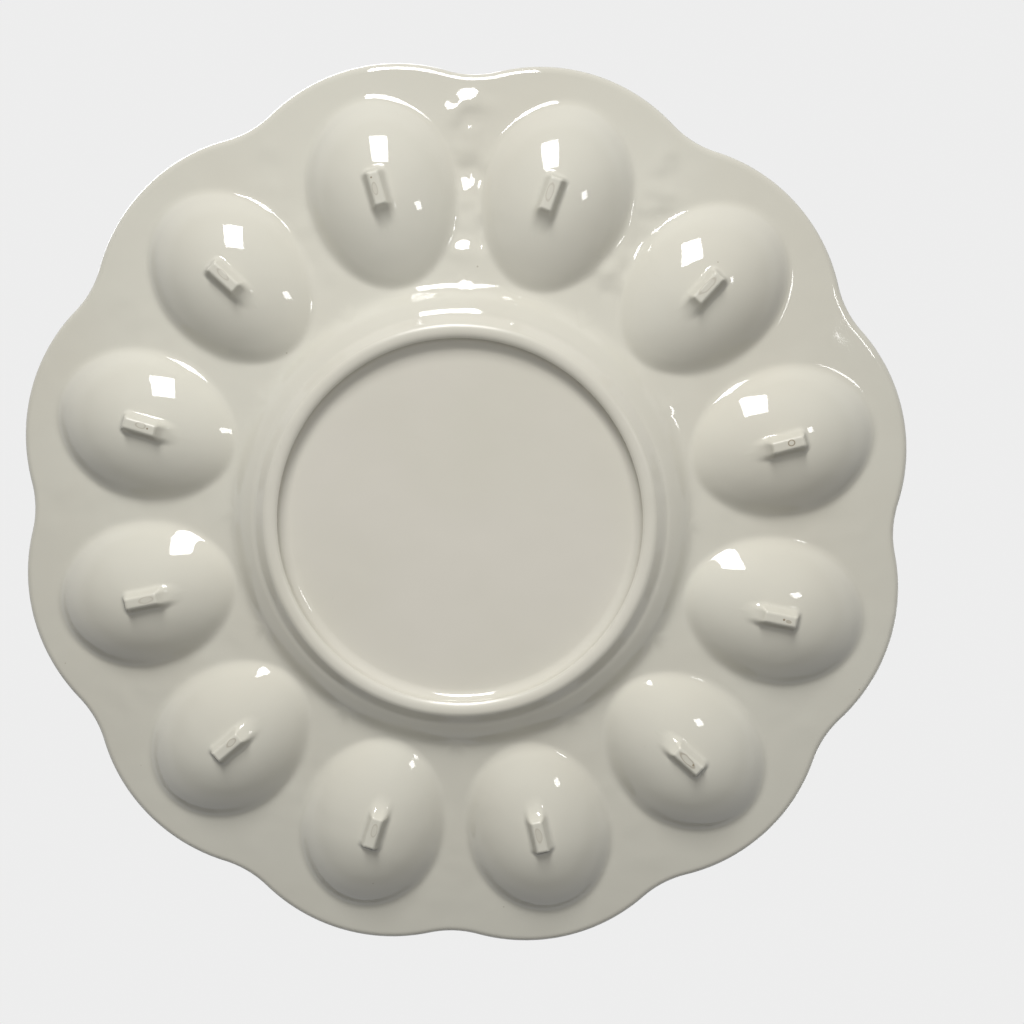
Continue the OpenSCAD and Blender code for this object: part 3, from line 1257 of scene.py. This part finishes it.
def floor_paint():
    """Pale grey, clear from below, and fading into the background further away."""
    material = bpy.data.materials.new("studio_floor")
    material.use_nodes = True
    tree = material.node_tree
    shader = tree.nodes["Principled BSDF"]
    shader.inputs["Base Color"].default_value = (0.8, 0.8, 0.8, 1)
    shader.inputs["Roughness"].default_value = 0.9
    shader.inputs["Specular IOR Level"].default_value = 0.1
    clear = tree.nodes.new("ShaderNodeBsdfTransparent")
    mix = tree.nodes.new("ShaderNodeMixShader")
    below = tree.nodes.new("ShaderNodeNewGeometry").outputs["Backfacing"]
    far = add_ramp(tree, add_length(tree, object_place(tree)), 0.25, 1.3, smooth=True)
    tree.links.new(add_math(tree, "MAXIMUM", below, far), mix.inputs["Fac"])
    tree.links.new(shader.outputs["BSDF"], mix.inputs[1])
    tree.links.new(clear.outputs["BSDF"], mix.inputs[2])
    tree.links.new(mix.outputs["Shader"], tree.nodes["Material Output"].inputs["Surface"])
    return material


def add_floor():
    """Plain floor just under the feet, which takes the platter's shadow."""
    deselect()
    bpy.ops.mesh.primitive_plane_add(size=12)
    ground = bpy.context.object
    ground.name = ground.data.name = "studio_floor"
    ground.location.z = -0.00005
    ground.data.materials.append(floor_paint())
    # It neither lights the platter nor shows in the glaze, and the lamps below
    # shine through it
    ground.visible_diffuse = False
    ground.visible_glossy = False
    ground.visible_shadow = False


def studio_world(looks):
    """Soft light from all round, and the pale background."""
    world = bpy.data.worlds.new("studio")
    world.use_nodes = True
    tree = world.node_tree
    light = tree.nodes["Background"]
    shown = tree.nodes.new("ShaderNodeBackground")
    for background in (light, shown):
        background.inputs["Color"].default_value = (1, 1, 1, 1)
    towards = tree.nodes.new("ShaderNodeTexCoord").outputs["Generated"]
    height = add_height(tree, towards)

    # Even from above; faint from below, but for a broad light that meets the
    # underside squarely
    facing = tree.nodes.new("ShaderNodeVectorMath")
    facing.operation = "DOT_PRODUCT"
    facing.inputs[1].default_value = (0, -0.17, -0.985)
    tree.links.new(towards, facing.inputs[0])
    squarely = add_math(tree, "MAXIMUM", facing.outputs["Value"], 0)
    broad = add_math(tree, "POWER", squarely, 8)
    below = add_math(tree, "MULTIPLY_ADD", broad, looks.world_below, looks.world_faint)
    above = add_ramp(tree, height, 0.1, 0.7, high=looks.world_above, smooth=True)
    tree.links.new(add_math(tree, "ADD", below, above), light.inputs["Strength"])

    # The camera sees the background, and the glaze mirrors it, less from below
    path = tree.nodes.new("ShaderNodeLightPath").outputs
    level = add_ramp(tree, height, -0.3, -0.02, smooth=True)
    full = add_math(tree, "MAXIMUM", level, path["Is Camera Ray"])
    strength = add_ramp(tree, full, 0, 1, looks.mirrored, looks.backdrop)
    tree.links.new(strength, shown.inputs["Strength"])
    seen = add_math(tree, "MAXIMUM", path["Is Camera Ray"], path["Is Glossy Ray"])
    seen = add_math(tree, "MAXIMUM", seen, path["Is Transmission Ray"])
    mix = tree.nodes.new("ShaderNodeMixShader")
    tree.links.new(seen, mix.inputs["Fac"])
    tree.links.new(light.outputs["Background"], mix.inputs[1])
    tree.links.new(shown.outputs["Background"], mix.inputs[2])
    tree.links.new(mix.outputs["Shader"], tree.nodes["World Output"].inputs["Surface"])
    return world


def add_lamp(name, place, width, height, watts):
    """Soft rectangular lamp that looks at the platter."""
    data = bpy.data.lights.new(name, "AREA")
    data.shape = "RECTANGLE"
    data.size, data.size_y = width, height
    data.energy = watts
    lamp = bpy.data.objects.new(name, data)
    bpy.context.scene.collection.objects.link(lamp)
    lamp.location = place
    lamp.rotation_euler = (-Vector(place)).to_track_quat("-Z", "Y").to_euler()
    lamp.visible_camera = False
    return lamp


def add_camera():
    """Camera under the platter, where the photograph was taken from."""
    data = bpy.data.cameras.new("photo_camera")
    data.sensor_width = 36
    data.lens = 36.211
    data.clip_start, data.clip_end = 0.01, 100
    camera = bpy.data.objects.new("photo_camera", data)
    bpy.context.scene.collection.objects.link(camera)
    camera.location = (0.0198043, -0.0332901, -0.3342913)
    camera.rotation_euler = [radians(turn) for turn in (175.0398, -0.5996, -1.4769)]
    return camera


class BuildStudio(bpy.types.Operator):
    """Sets up the floor, the background, the lamps and the camera"""

    bl_idname = "platter.build_studio"
    bl_label = "Studio"

    def execute(self, context):
        looks = context.scene.studio_looks
        add_floor()
        context.scene.world = studio_world(looks)
        # The glaze mirrors the two lamps below, but not the one by the camera
        add_lamp("key_lamp", (-0.22, -1.58, -1.20), 0.54, 0.84, looks.key_power)
        add_lamp("small_lamp", (1.15, -0.49, -1.56), 0.2, 0.24, looks.small_power)
        front = add_lamp("front_lamp", (0.02, -0.04, -0.36), 0.12, 0.12, looks.front_power)
        front.visible_glossy = False
        add_lamp("upper_key", (-0.45, -0.6, 0.9), 0.7, 0.7, looks.top_power)
        add_lamp("upper_fill", (0.8, 0.5, 0.7), 0.9, 0.9, looks.top_power * 0.4)
        context.scene.camera = add_camera()
        context.scene.view_settings.view_transform = "Standard"
        return {"FINISHED"}


class PlatterPanel(bpy.types.Panel):
    """Lists the steps that build the platter"""

    bl_idname = "VIEW3D_PT_platter"
    bl_label = "Deviled Egg Platter"
    bl_space_type = "VIEW_3D"
    bl_region_type = "UI"
    bl_category = "Platter"

    def draw(self, context):
        for step in STEPS:
            self.layout.operator(step.bl_idname)


STEPS = (
    BuildFloor, BuildRing, BuildWall, BuildFlange, BuildRim, BuildWells, BuildFeet,
    BlendCasting, BuildStudio,
)
GROUPS = {
    "platter_sizes": PlatterSizes,
    "well_sizes": WellSizes,
    "ring_sizes": RingSizes,
    "foot_sizes": FootSizes,
    "glaze_looks": GlazeLooks,
    "studio_looks": StudioLooks,
}


def register():
    for cls in (*GROUPS.values(), *STEPS, PlatterPanel):
        bpy.utils.register_class(cls)
    for name, cls in GROUPS.items():
        setattr(bpy.types.Scene, name, PointerProperty(type=cls))


def unregister():
    for name in GROUPS:
        delattr(bpy.types.Scene, name)
    for cls in reversed((*GROUPS.values(), *STEPS, PlatterPanel)):
        bpy.utils.unregister_class(cls)


def main():
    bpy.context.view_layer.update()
    register()
    bpy.ops.platter.build_floor()
    bpy.ops.platter.build_ring()
    bpy.ops.platter.build_wall()
    bpy.ops.platter.build_flange()
    bpy.ops.platter.build_rim()
    bpy.ops.platter.build_wells()
    bpy.ops.platter.build_feet()
    bpy.ops.platter.blend_casting()
    bpy.ops.platter.build_studio()


if __name__ == "__main__":
    main()
